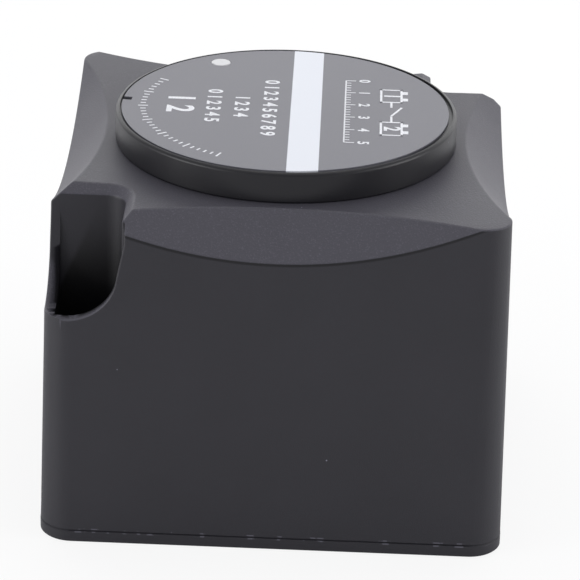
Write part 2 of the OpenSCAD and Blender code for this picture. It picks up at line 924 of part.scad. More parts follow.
// A spring as one unbroken tube: rings of points along a helix with closed ends
function helix_point(t, turns, mean_r, z0, z1) = [
    mean_r * cos(360 * turns * t),
    mean_r * sin(360 * turns * t),
    z0 + (z1 - z0) * t
];
function ring_point(t, a, turns, mean_r, wire_r, z0, z1) =
    let (
        p = helix_point(t, turns, mean_r, z0, z1),
        turn = 360 * turns * t,
        climb = atan2(z1 - z0, 2 * PI * mean_r * turns),
        outwards = [cos(turn), sin(turn), 0],
        upwards = [sin(turn) * sin(climb), -cos(turn) * sin(climb), cos(climb)]
    )
    p + wire_r * (cos(a) * outwards + sin(a) * upwards);
module spring_tube(turns, mean_r, wire_r, z0, z1) {
    sides = 6;
    rings_per_turn = 12;
    count = ceil(turns * rings_per_turn);
    points = [
        for (i = [0 : count], k = [0 : sides - 1])
            ring_point(i / count, 360 * k / sides, turns, mean_r, wire_r, z0, z1)
    ];
    walls = [
        for (i = [0 : count - 1], k = [0 : sides - 1])
            let (
                here = i * sides + k,
                beside = i * sides + (k + 1) % sides
            )
            each [
                [here, beside + sides, beside],
                [here, here + sides, beside + sides]
            ]
    ];
    start = [for (k = [1 : sides - 2]) [0, k, k + 1]];
    finish = [for (k = [1 : sides - 2]) [count * sides, count * sides + k + 1, count * sides + k]];
    polyhedron(points = points, faces = concat(walls, start, finish), convexity = 6);
}

module return_spring() {
    color("#c4c6ca")
    translate([coil_x, coil_y, 0])
        spring_tube(return_turns, return_mean_r, return_wire_r,
            return_z0 + return_wire_r + fit_gap, return_z1 - return_wire_r - fit_gap);
}

module contact_spring() {
    color("#c4c6ca")
    translate([coil_x, coil_y, 0])
        spring_tube(contact_turns, contact_mean_r, contact_wire_r,
            collar_z + collar_t + contact_wire_r + fit_gap, bridge_z - contact_wire_r - fit_gap);
}

module rod_clip() {
    color("#8b8d91")
    translate([coil_x, coil_y, clip_z])
        difference() {
            cylinder(r = clip_r, h = clip_t);
            translate([0, 0, -cut_over])
                cylinder(r = rod_r - groove_depth + fit_gap, h = clip_t + 2 * cut_over);
            translate([0, -clip_gap_w / 2, -cut_over])
                cube([2 * clip_r, clip_gap_w, clip_t + 2 * cut_over]);
        }
}

module contact_bridge() {
    color("#b87344")
    difference() {
        translate([coil_x - bridge_len / 2, coil_y - bridge_w / 2, bridge_z])
            cube([bridge_len, bridge_w, bridge_t]);
        translate([coil_x, coil_y, 0])
            cylinder(r = rod_r + slide_gap, h = body_w);
    }
}

module bridge_tips() {
    color("#d6d8dc")
    for (s = [-1, 1])
        translate([coil_x + s * stud_pitch / 2, coil_y, bridge_z + bridge_t])
            cylinder(r = tip_r, h = tip_t);
}

module fixed_tips() {
    color("#d6d8dc")
    for (s = [-1, 1])
        translate([coil_x + s * stud_pitch / 2, coil_y, fixed_tip_z])
            cylinder(r = tip_r, h = tip_t);
}

// Copper bars from the fixed contacts back and down to the studs
module bus_bars() {
    color("#b87344")
    difference() {
        for (s = [-1, 1])
            translate([s * stud_pitch / 2 - bar_w / 2, 0, 0])
                union() {
                    translate([0, bar_front, bar_z])
                        cube([bar_w, leg_y + bar_t - bar_front, bar_t]);
                    translate([0, leg_y, leg_z])
                        cube([bar_w, bar_t, bar_z + bar_t - leg_z]);
                }
        for (s = [-1, 1]) {
            translate([s * stud_pitch / 2, leg_y - cut_over, stud_z])
                rotate([-90, 0, 0])
                    cylinder(r = stud_r + fit_gap, h = bar_t + 2 * cut_over);
            translate([s * stud_pitch / 2, bar_screw_y, bar_z - cut_over])
                cylinder(r = bar_screw_r + fit_gap, h = bar_t + 2 * cut_over);
        }
    }
}

module bar_screws() {
    color("#8d8f93")
    for (s = [-1, 1])
        translate([s * stud_pitch / 2, bar_screw_y, bar_z + bar_t])
            difference() {
                union() {
                    cylinder(r = bar_screw_head_r, h = bar_screw_head_h);
                    translate([0, 0, -bar_screw_len])
                        cylinder(r = bar_screw_r, h = bar_screw_len + eps);
                }
                translate([-bar_screw_head_r, -screw_slot_w / 2, bar_screw_head_h / 2])
                    cube([2 * bar_screw_head_r, screw_slot_w, bar_screw_head_h]);
            }
}

// Moulded frame on the pole plate: the bus bars rest on it, the bridge moves inside it
module contact_carrier() {
    color("#cfc9b8")
    difference() {
        translate([coil_x - frame_w / 2, coil_y - frame_d / 2, carrier_z])
            cube([frame_w, frame_d, carrier_h]);
        translate([
            coil_x - frame_w / 2 + carrier_wall_x,
            coil_y - frame_d / 2 + carrier_wall_y,
            carrier_z - cut_over
        ])
            cube([
                frame_w - 2 * carrier_wall_x,
                frame_d - 2 * carrier_wall_y,
                carrier_h + 2 * cut_over
            ]);
        for (s = [-1, 1])
            translate([s * stud_pitch / 2, bar_screw_y, bar_z - bar_screw_len])
                cylinder(r = bar_screw_r + fit_gap, h = bar_screw_len + cut_over);
    }
}

module terminal_studs() {
    color("#c9a24b")
    for (s = [-1, 1])
        translate([s * stud_pitch / 2, leg_y - stud_head_t, stud_z])
            rotate([-90, 0, 0])
                union() {
                    cylinder(r = stud_head_r, h = stud_head_t, $fn = 6);
                    cylinder(r = stud_r, h = stud_end_y - stud_chamfer - leg_y + stud_head_t);
                    translate([0, 0, stud_end_y - stud_chamfer - leg_y + stud_head_t])
                        cylinder(h = stud_chamfer, r1 = stud_r, r2 = stud_r - stud_chamfer);
                }
}

module stud_seals() {
    color("#1b1b1d")
    for (s = [-1, 1])
        translate([s * stud_pitch / 2, seal_groove_y + seal_groove_w / 2, stud_z])
            rotate([-90, 0, 0])
                rotate_extrude()
                    translate([stud_r + fit_gap + stud_seal_cord_r, 0])
                        circle(r = stud_seal_cord_r, $fn = 32);
}

// A flat ring on a stud, from a place along +Y
module stud_ring(y, t, r) {
    for (s = [-1, 1])
        translate([s * stud_pitch / 2, y, stud_z])
            rotate([-90, 0, 0])
                difference() {
                    cylinder(r = r, h = t);
                    translate([0, 0, -cut_over])
                        cylinder(r = stud_r + fit_gap, h = t + 2 * cut_over);
                }
}

module terminal_washers() {
    color("#b9bbbf")
    stud_ring(washer_y, washer_t, washer_r);
}

module spring_washers() {
    color("#b9bbbf")
    difference() {
        stud_ring(spring_washer_y, spring_washer_t, spring_washer_r);
        for (s = [-1, 1])
            translate([s * stud_pitch / 2, spring_washer_y - cut_over, stud_z + stud_r])
                rotate([0, spring_washer_turn, 0])
                    translate([-spring_washer_split / 2, 0, -stud_r / 2])
                        cube([spring_washer_split, spring_washer_t + 2 * cut_over, spring_washer_r]);
    }
}

module terminal_nuts() {
    color("#c9a24b")
    for (s = [-1, 1])
        translate([s * stud_pitch / 2, nut_y, stud_z])
            rotate([-90, 0, 0])
                difference() {
                    intersection() {
                        cylinder(r = nut_af / sqrt(3), h = nut_t, $fn = 6);
                        cylinder(h = nut_t, r1 = nut_af / 2 + nut_t, r2 = nut_af / 2 + edge_bevel / 2);
                    }
                    translate([0, 0, -cut_over])
                        cylinder(r = stud_r + fit_gap, h = nut_t + 2 * cut_over);
                }
}

module lead_gland() {
    in_y = cavity_half - gland_flange_t;
    out_y = side_at(gland_z - gland_flange_r);
    color("#1b1b1d")
    translate([gland_x, 0, gland_z])
        rotate([-90, 0, 0])
            difference() {
                union() {
                    translate([0, 0, in_y])
                        cylinder(r = gland_flange_r, h = gland_flange_t);
                    translate([0, 0, in_y])
                        cylinder(r = gland_neck_r, h = out_y + gland_flange_t - in_y);
                    translate([0, 0, out_y])
                        cylinder(h = gland_flange_t, r1 = gland_flange_r, r2 = gland_neck_r + edge_bevel);
                }
                translate([0, 0, in_y - cut_over])
                    cylinder(r = gland_bore_r, h = body_w);
            }
}

housing();
base_plate();
base_seal();
base_screws();
fixing_bushes();
top_cap();
cap_seal();
label_disc();
lamp_lens();
circuit_board();
control_chips();
capacitors();
board_resistors();
status_lamp();
sense_pins();
coil_pins();
magnet_frame();
pole_plate();
pole_core();
coil_bobbin();
coil_winding();
plunger();
push_rod();
return_spring();
contact_spring();
rod_clip();
contact_bridge();
bridge_tips();
fixed_tips();
bus_bars();
bar_screws();
contact_carrier();
terminal_studs();
stud_seals();
terminal_washers();
spring_washers();
terminal_nuts();
lead_gland();
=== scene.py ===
import bmesh
import bpy
from math import cos, hypot, pi, radians, sin
from mathutils import Matrix, Vector
from mathutils.bvhtree import BVHTree


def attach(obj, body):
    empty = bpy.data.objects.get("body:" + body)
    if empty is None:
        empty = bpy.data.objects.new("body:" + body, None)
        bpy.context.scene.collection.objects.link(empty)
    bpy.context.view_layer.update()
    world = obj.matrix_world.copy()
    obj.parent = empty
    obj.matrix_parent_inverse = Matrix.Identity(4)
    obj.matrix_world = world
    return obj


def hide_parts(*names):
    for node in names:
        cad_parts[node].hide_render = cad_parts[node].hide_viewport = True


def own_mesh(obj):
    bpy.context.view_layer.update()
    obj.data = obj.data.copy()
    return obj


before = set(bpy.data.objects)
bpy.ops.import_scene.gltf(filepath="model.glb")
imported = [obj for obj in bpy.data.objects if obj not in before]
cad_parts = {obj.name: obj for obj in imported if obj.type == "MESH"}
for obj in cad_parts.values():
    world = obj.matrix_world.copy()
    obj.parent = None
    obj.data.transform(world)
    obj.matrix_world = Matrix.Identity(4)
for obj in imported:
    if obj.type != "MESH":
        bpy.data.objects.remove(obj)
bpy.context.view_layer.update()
view = bpy.context.scene.view_settings
view.view_transform = "Standard"
MM = 0.001


# Housing: one injection moulding in black glass-filled nylon, with round upright corners,
# four scooped bands under the cap and two fixing pockets. The mould is spark eroded, which
# gives the bands a coarse grain and the walls a finer satin one.
class Value:
    """One output of a shader node, so that masks can be written as sums and products."""

    def __init__(self, finish, socket):
        self.finish = finish
        self.socket = socket

    def math(self, operation, first, second=0.0):
        return self.finish.node("ShaderNodeMath", {"operation": operation}, {0: first, 1: second})

    def __add__(self, other):
        return self.math("ADD", self, other)

    def __mul__(self, other):
        return self.math("MULTIPLY", self, other)

    def __sub__(self, other):
        return self.math("SUBTRACT", self, other)

    def __pow__(self, other):
        return self.math("POWER", self, other)

    def __rsub__(self, other):
        return self.math("SUBTRACT", other, self)

    __radd__ = __add__
    __rmul__ = __mul__

    def at_most(self, other):
        return self.math("MINIMUM", self, other)

    def at_least(self, other):
        return self.math("MAXIMUM", self, other)

    def size(self):
        return self.math("ABSOLUTE", self)

    def ease(self, low, high):
        """0 below low, 1 above high, and a smooth step between them."""
        return self.finish.node(
            "ShaderNodeMapRange",
            {"interpolation_type": "SMOOTHSTEP"},
            {"Value": self, "From Min": low, "From Max": high},
        )


class Finish:
    """A material with one Principled shader, and short ways to add nodes to it."""

    def __init__(self, name):
        self.material = bpy.data.materials.new(name)
        self.material.use_nodes = True
        self.tree = self.material.node_tree
        self.shader = self.tree.nodes["Principled BSDF"]
        self.place = self.node("ShaderNodeTexCoord", {}, {}, "Object")

    def fill(self, node, values):
        for key, value in values.items():
            if isinstance(value, Value):
                self.tree.links.new(value.socket, node.inputs[key])
            else:
                node.inputs[key].default_value = value

    def node(self, kind, settings, values, output=0):
        made = self.tree.nodes.new(kind)
        for key, value in settings.items():
            setattr(made, key, value)
        self.fill(made, values)
        return Value(self, made.outputs[output])

    def set(self, **values):
        self.fill(self.shader, {key.replace("_", " "): value for key, value in values.items()})

    def blend(self, share, first, second):
        """Two colours, or a colour and a link, mixed by a mask."""
        values = {0: share, 6: first, 7: second}
        return self.node("ShaderNodeMix", {"data_type": "RGBA"}, values, 2)

    def noise(self, size, detail=2.0, place=None):
        """Cloudy noise whose patches are about size across, in metres."""
        values = {"Vector": place or self.place, "Scale": 1 / size, "Detail": detail}
        return self.node("ShaderNodeTexNoise", {}, values)

    def bump(self, height, depth, strength=1.0):
        values = {"Height": height, "Distance": depth, "Strength": strength}
        self.set(Normal=self.node("ShaderNodeBump", {}, values, "Normal"))

    def axis(self, name, place=None):
        return self.node("ShaderNodeSeparateXYZ", {}, {0: place or self.place}, name)


arch_r = 96
arch_line = 78.53
back_scoop_inset = 1.4
arch_end = 32.7
pocket_outside = 31.7
shade_x = 27.77
shade_z = 45.09
shade_slope = 2.25
dust_cell = 0.0016
ring_foot_r = 0.028
ring_foot_z = 0.0505


def grey(level):
    """The cool black of the mouldings, at a level of brightness."""
    return (level, level * 0.96, level * 1.2, 1)


def moulding(name, level, roughness, grain, depth, dust=0.0, coarse=False, seam=0.0):
    """Moulded plastic: cloudy colour, grain in the surface, a little dust, and a broken painted
    highlight along a parting seam at a height in millimetres. Coarse is for the housing: it adds
    the bands' grain, painted light with painted glints on faces that look upwards, a painted
    shadow line with a groove in the bump under each arch, and painted shade in the pockets."""
    finish = Finish(name)
    cloud = finish.noise(0.011, 4.0)
    colour = finish.blend(cloud, grey(level * 0.88), grey(level * 1.12))
    fine = finish.noise(grain, 3.0)
    height = fine
    rough = roughness + (cloud - 0.5) * 0.08
    if coarse:
        upward = finish.axis("Z", finish.node("ShaderNodeNewGeometry", {}, {}, "Normal"))
        band = upward.ease(0.25, 0.5)
        stipple = finish.noise(grain * 1.1, 2.0)
        height = fine * (1 - band) + stipple * band * 1.8
        rough = rough + band * 0.04
        # Painted light: faces that look upwards are painted lighter, as lit from above, and get painted
        # glints on their grain. Their coarser grain and roughness are real.
        colour = finish.blend(band * 0.9, colour, grey(level * 2.7))
        colour = finish.blend(band * stipple.ease(0.5, 0.8) * 0.5, colour, grey(level * 5))
        x, y, z = (finish.axis(letter) * (1 / MM) for letter in "XYZ")
        reach = []
        for along, out, inset in ((x, y, y.ease(0, 1) * back_scoop_inset), (y, x, 0.0)):
            square = along * along
            lift = square * (2 ** 0.5 / (2 * arch_r)) + square * square * (2 ** 0.5 / (8 * arch_r ** 3))
            reach.append(lift + arch_line - out.size() - inset)
        under = reach[0].at_most(reach[1]) - z
        widest = x.size().at_least(y.size())
        # Painted shadow: a near-black line on the wall just under each arch, where the band's overhang
        # shades it. The same mask also sinks a groove into the bump.
        lip = (1 - band) * under.ease(0.02, 0.1) * (1 - under.ease(0.18, 0.5))
        lip = lip * widest.ease(arch_end - 0.1, arch_end + 0.1)
        colour = finish.blend(lip * 0.85, colour, grey(0.004))
        # Painted shade: the pockets are painted dark below a slanting line, a painted shadow edge for
        # the light that comes in through the side windows.
        slant = (shade_x - x.size()) * shade_slope + shade_z - z
        painted_pocket_shade = (1 - widest.ease(pocket_outside - 0.2, pocket_outside + 0.2)) * slant.ease(-0.8, 1.6)
        painted_pocket_shade = painted_pocket_shade * (1 - z.ease(38, 50)) * (1 - band)
        colour = finish.blend(painted_pocket_shade, colour, grey(level * 0.2))
        height = height - lip * 3
    if seam:
        z = finish.axis("Z") * (1 / MM)
        # Painted highlight: broken bright dashes along the seam's edge, where light catches it.
        painted_seam_highlight = finish.noise(0.0018, 3.0).ease(0.56, 0.62) * (1 - (z - seam).size().ease(0.06, 0.14))
        colour = finish.blend(painted_seam_highlight * 0.8, colour, grey(0.1))
    if dust:
        cell = {"Vector": finish.place, "Scale": 1 / dust_cell}
        near = finish.node("ShaderNodeTexVoronoi", {}, cell, "Distance")
        pick = finish.axis("X", finish.node("ShaderNodeTexVoronoi", {}, cell, "Color"))
        along, out = finish.axis("X"), finish.axis("Y")
        radius = (along * along + out * out) ** 0.5
        foot = 1 - radius.ease(ring_foot_r - 0.002, ring_foot_r + 0.002)
        foot = foot * finish.axis("Z").ease(ring_foot_z - 0.0005, ring_foot_z + 0.0005)
        speck = (1 - near.ease(0.03, 0.075)) * (pick + foot * 0.07).ease(1 - dust, 1 - dust + 0.01)
        colour = finish.blend(speck * 0.8, colour, grey(0.45))
    finish.set(Base_Color=colour, Roughness=rough, Specular_IOR_Level=0.32)
    finish.bump(height, depth)
    return finish.material


def cad_copy(node, merge=0.001):
    """A copy of a CAD node's mesh with its loose triangles joined and flat faces made whole."""
    bm = bmesh.new()
    bm.from_mesh(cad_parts[node].data)
    bmesh.ops.remove_doubles(bm, verts=bm.verts, dist=merge * MM)
    bmesh.ops.dissolve_limit(
        bm, angle_limit=radians(0.15), use_dissolve_boundaries=False,
        verts=bm.verts, edges=bm.edges, delimit={"NORMAL"},
    )
    return bm


stray_share = 0.34


def soften(bm, width, wanted=lambda edge: True, angle=20, segments=3):
    """Rounds the sharp outward edges that wanted() picks. Width is in millimetres. Points that
    the bevel throws off the old surface, where edges are shorter than it, are laid back on it."""
    surface = BVHTree.FromBMesh(bm)
    edges = [
        e for e in bm.edges
        if e.is_manifold and e.is_convex and e.calc_face_angle(0) > radians(angle) and wanted(e)
    ]
    bmesh.ops.bevel(
        bm, geom=edges, offset=width * MM, offset_type="OFFSET", segments=segments,
        profile=0.5, affect="EDGES", clamp_overlap=False, material=-1, miter_outer="ARC",
    )
    for vertex in bm.verts:
        nearest = surface.find_nearest(vertex.co)
        if nearest[3] > stray_share * width * MM:
            vertex.co = nearest[0]
    bmesh.ops.remove_doubles(bm, verts=bm.verts, dist=0.004 * MM)
    bmesh.ops.dissolve_degenerate(bm, edges=bm.edges, dist=0.002 * MM)


def piece(name, bm, material, body, replaced, angle=32):
    """Makes the finished piece: its mesh, finish and body, and hides the nodes it stands for."""
    mesh = bpy.data.meshes.new(name)
    bmesh.ops.triangulate(bm, faces=[f for f in bm.faces if len(f.verts) > 4])
    bm.to_mesh(mesh)
    bm.free()
    mesh.shade_smooth()
    mesh.set_sharp_from_angle(angle=radians(angle))
    made = bpy.data.objects.new(name, mesh)
    bpy.context.scene.collection.objects.link(made)
    weigh = made.modifiers.new("flat faces", "WEIGHTED_NORMAL")
    weigh.keep_sharp = True
    mesh.materials.append(material)
    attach(made, body)
    if replaced:
        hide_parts(*replaced)
    return made


housing_lean = 0.021
housing_half = 34.0


def on_housing_face(edge):
    """Edges of the bands, the corner tips, the pocket mouths and the bosses round the studs."""
    for vertex in edge.verts:
        x, y, z = vertex.co / MM
        outside = max(abs(x), abs(y)) > housing_half - housing_lean * z - 0.3
        if y < housing_half and (hypot(x, y) < 25 or z < (34 if outside else 45)):
            return False
    return True


housing_finish = moulding(
    "housing_plastic", 0.0225, 0.48, 0.00022, 0.00003, dust=0.012, coarse=True, seam=2.2,
)
shell = cad_copy("housing", merge=0.06)
soften(shell, 0.26, on_housing_face)
piece("housing_shell", shell, housing_finish, "case", ["housing"])


# Base plate: a flat moulded cover in the same nylon, pushed into the foot of the housing
# with a seal round its lip. The thin seam above it runs all the way round.
base_finish = moulding("base_plastic", 0.0215, 0.46, 0.0002, 0.00002, seam=1.7)
plate = cad_copy("base_plate", merge=0.02)
soften(plate, 0.1, lambda edge: all(v.co.z < 0.1 * MM for v in edge.verts), segments=2)
piece("base_cover", plate, base_finish, "case", ["base_plate"])


# Top cap: a round moulding pressed into the housing's collar. Its rim stands a little above
# the label, with a rounded outer edge, and its skirt carries the seal.
def turned(profile, segments=192, axis=(0, 0, 1), centre=(0, 0, 0)):
    """Spins a closed outline of (radius, height) points, in millimetres, about an axis."""
    bm = bmesh.new()
    ring = [bm.verts.new((r * MM, 0, h * MM)) for r, h in profile]
    edges = [bm.edges.new((a, b)) for a, b in zip(ring, ring[1:] + ring[:1])]
    bmesh.ops.spin(
        bm, geom=ring + edges, axis=(0, 0, 1), cent=(0, 0, 0),
        angle=2 * pi, steps=segments, use_merge=True,
    )
    bmesh.ops.remove_doubles(bm, verts=bm.verts, dist=0.0005 * MM)
    bmesh.ops.dissolve_degenerate(bm, edges=bm.edges, dist=0.0005 * MM)
    bmesh.ops.recalc_face_normals(bm, faces=bm.faces)
    turn = Vector((0, 0, 1)).rotation_difference(Vector(axis)).to_matrix().to_4x4()
    move = Matrix.Translation(Vector(centre) * MM) @ turn
    bmesh.ops.transform(bm, matrix=move, verts=bm.verts)
    return bm


def corner(r, h, size, start, steps=5):
    """Points of a quarter round about (r, h), from a start angle in degrees, anticlockwise."""
    angles = [radians(start + 90 * i / steps) for i in range(steps + 1)]
    return [(r + size * cos(a), h + size * sin(a)) for a in angles]


def carve(bm, cutter, operation="DIFFERENCE"):
    """Cuts one mesh by another with an exact boolean, and gives back the result."""
    objects = []
    for source in (bm, cutter):
        mesh = bpy.data.meshes.new("carving")
        source.to_mesh(mesh)
        source.free()
        objects.append(bpy.data.objects.new("carving", mesh))
        bpy.context.scene.collection.objects.link(objects[-1])
    modifier = objects[0].modifiers.new("cut", "BOOLEAN")
    modifier.operation = operation
    modifier.solver = "EXACT"
    modifier.object = objects[1]
    bpy.context.view_layer.update()
    result = bmesh.new()
    result.from_object(objects[0], bpy.context.evaluated_depsgraph_get())
    for made in objects:
        mesh = made.data
        bpy.data.objects.remove(made)
        bpy.data.meshes.remove(mesh)
    return result


cap_r = 25.4
cap_top = 56.1
cap_foot = 51.5
cap_skirt_foot = 46.45
cap_skirt_r = 22.4
cap_inner_r = 19.6
cap_roof = 53.45
cap_edge = 0.55
recess_r = 24.8
recess_floor = 55.65
lens_r = 1.5
lens_reach = 21.3
lens_turn = radians(120.3)
lens_at = (lens_reach * cos(lens_turn), lens_reach * sin(lens_turn))
rim_bevel = 0.06
foot_chamfer = 0.25
cap_outline = (
    [(0, cap_roof), (cap_inner_r, cap_roof), (cap_inner_r, cap_skirt_foot)]
    + [(cap_skirt_r, cap_skirt_foot), (cap_skirt_r, cap_foot)]
    + [(cap_r - foot_chamfer, cap_foot), (cap_r, cap_foot + foot_chamfer)]
    + corner(cap_r - cap_edge, cap_top - cap_edge, cap_edge, 0)
    + [(recess_r + rim_bevel, cap_top), (recess_r, cap_top - rim_bevel)]
    + [(recess_r, recess_floor), (0, recess_floor)]
)
cap = turned(cap_outline, 256)
lens_hole_r = lens_r + 0.05
past_top = 60
hole = turned(
    [(0, cap_skirt_foot), (lens_hole_r, cap_skirt_foot), (lens_hole_r, past_top), (0, past_top)],
    48, centre=(*lens_at, 0),
)
cap = carve(cap, hole)
cap_finish = moulding("cap_plastic", 0.0115, 0.4, 0.00018, 0.000015, dust=0.01)
piece("cap_moulding", cap, cap_finish, "case", ["top_cap"])


# Label: a printed polyester disc laid in the cap's recess, grey with one broad white stripe,
# a hole for the lamp window and a small notch that lines it up.
label_r = 24.4
label_x = -0.2
label_y = 0.25
label_under = 55.65
label_top = 56.05
stripe_at = 2.88
stripe_half = 2.28
stripe_turn = radians(0.23)
notch_turn = radians(175.5)

label_finish = Finish("label_film")
rolled = label_finish.node(
    "ShaderNodeMapping", {}, {"Vector": label_finish.place, "Rotation": (0, 0, -stripe_turn)},
)
across = label_finish.axis("X", rolled)
stripe_blur = 0.04
stripe = (across - stripe_at * MM).size()
stripe = 1 - stripe.ease((stripe_half - stripe_blur) * MM, (stripe_half + stripe_blur) * MM)
tooth = label_finish.noise(0.00013, 3.0)
cloud = label_finish.noise(0.014, 3.0)
film = label_finish.blend(
    tooth.ease(0.3, 0.7), (0.120, 0.119, 0.140, 1), (0.150, 0.149, 0.172, 1),
)
film = label_finish.blend(cloud * 0.25, film, (0.175, 0.175, 0.2, 1))
label_finish.set(
    Base_Color=label_finish.blend(stripe, film, (0.68, 0.70, 0.76, 1)),
    Roughness=0.46 + (tooth - 0.5) * 0.14,
    Specular_IOR_Level=0.35,
)
label_finish.bump(tooth, 0.000012)
label_edge = 0.08
label_outline = (
    [(0, label_under), (label_r, label_under)]
    + corner(label_r - label_edge, label_top - label_edge, label_edge, 0, 3)
    + [(0, label_top)]
)
disc = turned(label_outline, 256, centre=(label_x, label_y, 0))
hole = turned(
    [(0, 55), (lens_hole_r, 55), (lens_hole_r, 57), (0, 57)], 48, centre=(*lens_at, 0),
)
disc = carve(disc, hole)
notch_size = Vector((1.9, 1.2, 4)) * MM
notch_at = Vector((label_r - 0.15, 0, label_top)) * MM
notch = bmesh.new()
bmesh.ops.create_cube(notch, size=1)
bmesh.ops.scale(notch, vec=notch_size, verts=notch.verts)
bmesh.ops.translate(notch, vec=notch_at, verts=notch.verts)
bmesh.ops.rotate(
    notch, matrix=Matrix.Rotation(notch_turn, 3, "Z"), cent=(0, 0, 0), verts=notch.verts,
)
disc = carve(disc, notch)
piece("label_film_disc", disc, label_finish.material, "case", ["label_disc"])


# Printing on the label: plain white ink marks, a few hundredths of a millimetre thick. Two
# cells joined by a switch, plain numerals and a tick scale.
ink_thick = 0.02
ink_finish = Finish("label_ink")
coverage = ink_finish.noise(0.0002, 3.0)
ink_finish.set(
    Base_Color=ink_finish.blend(
        coverage.ease(0.35, 0.6), (0.62, 0.62, 0.66, 1), (0.78, 0.79, 0.83, 1),
    ),
    Roughness=0.5 + (coverage - 0.5) * 0.1,
)
ink = bmesh.new()


def ink_bar(x, y, width, depth, turn=0.0):
    """One printed bar, centred at x, y on the label, in millimetres."""
    made = bmesh.ops.create_cube(ink, size=1)["verts"]
    bmesh.ops.scale(ink, vec=(width * MM, depth * MM, ink_thick * MM), verts=made)
    bmesh.ops.rotate(ink, matrix=Matrix.Rotation(turn, 3, "Z"), cent=(0, 0, 0), verts=made)
    middle = label_top + ink_thick / 2
    bmesh.ops.translate(ink, vec=(x * MM, y * MM, middle * MM), verts=made)


def ink_number(words, x, y, size, turn=-pi / 2):
    """Plain numerals in the print, centred at x, y, read from the +X side."""
    font = bpy.data.curves.new("numeral", "FONT")
    font.body = words
    font.size = size * MM
    font.align_x = "CENTER"
    font.align_y = "CENTER"
    font.extrude = ink_thick * MM / 2
    font.offset = 0.025 * size * MM
    font.resolution_u = 6
    holder = bpy.data.objects.new("numeral", font)
    mesh = bpy.data.meshes.new_from_object(holder)
    place = Matrix.Translation(Vector((x, y, label_top + ink_thick / 2)) * MM)
    mesh.transform(place @ Matrix.Rotation(turn, 4, "Z"))
    ink.from_mesh(mesh)
    bpy.data.objects.remove(holder)
    bpy.data.curves.remove(font)
    bpy.data.meshes.remove(mesh)


def ink_cell(x, y):
    """The outline of one battery: a frame with two terminals on its upper side."""
    tall, wide, line = 3.4, 5.4, 0.34
    for side in (-1, 1):
        ink_bar(x + side * (tall - line) / 2, y, line, wide)
        ink_bar(x, y + side * (wide - line) / 2, tall, line)
        ink_bar(x + tall / 2 + 0.4, y + side * wide / 4, 0.8, 1.1)


symbol_x = 15.6
cell_at = 6.6
wire_at = 2.9
wire_wide = 0.34
for side, words in ((1, "1"), (-1, "2")):
    ink_cell(symbol_x, side * cell_at)
    ink_number(words, symbol_x, side * cell_at, 3.4)
    ink_bar(symbol_x, side * wire_at, wire_wide, 2.0)
ink_bar(symbol_x + 0.75, 0.15, wire_wide, 4.0, radians(-24))
scale_line_x = 8.7
scale_numbers_x = 11.45
scale_long = 25
tick_wide = 0.22
long_tick, short_tick = 1.5, 0.8
ink_bar(scale_line_x, 0, tick_wide, scale_long)
for step in range(scale_long + 1):
    tall = short_tick if step % 5 else long_tick
    ink_bar(scale_line_x + tall / 2, step - scale_long / 2, tall, tick_wide)
for step in range(6):
    ink_number(str(step), scale_numbers_x, scale_long / 2 - 5 * step, 2.3)
first_row_x = -2.6
row_pitch = 4.2
row_y = 0.2
row_size = 3.0
for row, words in enumerate(("0 1 2 3 4 5 6 7 8 9", "1 2 3 4", "0 1 2 3 4 5")):
    ink_number(words, first_row_x - row_pitch * row, row_y, row_size)
ink_number("1 2", -16.0, 0.6, 5.6)
dial_r = 21.2
dial_start = 152
dial_pitch = 3.1
dial_tick_wide = 0.26
for step in range(31):
    turn = radians(dial_start + dial_pitch * step)
    tall = short_tick if step % 5 else long_tick
    tick_x = label_x + dial_r * cos(turn)
    ink_bar(tick_x, label_y + dial_r * sin(turn), tall, dial_tick_wide, turn)
piece("label_print", ink, ink_finish.material, "case", [])


# Lamp window: a clear acrylic light pipe pushed up through the cap, with a foot over the lamp.
lens_finish = Finish("clear_plastic")
haze = lens_finish.noise(0.0006, 2.0)
lens_finish.set(
    Base_Color=lens_finish.blend(haze, (0.46, 0.46, 0.48, 1), (0.56, 0.56, 0.58, 1)),
    Roughness=0.24 + haze * 0.1,
)
lens_finish.bump(haze, 0.00001)
lens = cad_copy("lamp_lens")
soften(lens, 0.12, lambda edge: all(v.co.z > 56 * MM for v in edge.verts))
piece("lamp_window", lens, lens_finish.material, "case", ["lamp_lens"])


# Fixing bushes: turned steel tubes in the pockets, so that the screws don't crush the nylon.
def metal(name, colour, roughness, across=0.0004, along=0.004, depth=0.000006):
    """Worked metal: fine drawn or turned lines, and a slightly clouded plating."""
    finish = Finish(name)
    drawn = finish.node(
        "ShaderNodeMapping", {}, {"Vector": finish.place, "Scale": (1 / across, 1 / across, 1 / along)},
    )
    line = finish.node("ShaderNodeTexNoise", {}, {"Vector": drawn, "Scale": 1.0, "Detail": 3.0})
    cloud = finish.noise(0.006, 3.0)
    dark = tuple(c * 0.78 for c in colour[:3]) + (1,)
    finish.set(
        Base_Color=finish.blend(cloud * 0.7 + line * 0.3, dark, colour),
        Metallic=1.0,
        Roughness=roughness + (line - 0.5) * 0.16,
    )
    finish.bump(line, depth)
    return finish.material


bush_steel = metal("bush_steel", (0.60, 0.60, 0.61, 1), 0.34)
bush = cad_copy("fixing_bushes")
soften(bush, 0.25, lambda edge: all(v.co.z > 7.9 * MM for v in edge.verts))
piece("fixing_bush_pair", bush, bush_steel, "case", ["fixing_bushes"])


# Terminal studs: turned brass with a rolled M8 thread, pushed out through the back wall from
# inside and sealed there. The hexagon head bears on the copper bar.
stud_x = 13.0
stud_z = 20.0
stud_head_y = 21.0
stud_end_y = 50.06
thread_from_y = 34.0
thread_pitch = 1.25
thread_root = 3.3
thread_crest = 4.0
outwards = (0, 1, 0)
brass = metal("brass", (0.72, 0.50, 0.20, 1), 0.28)


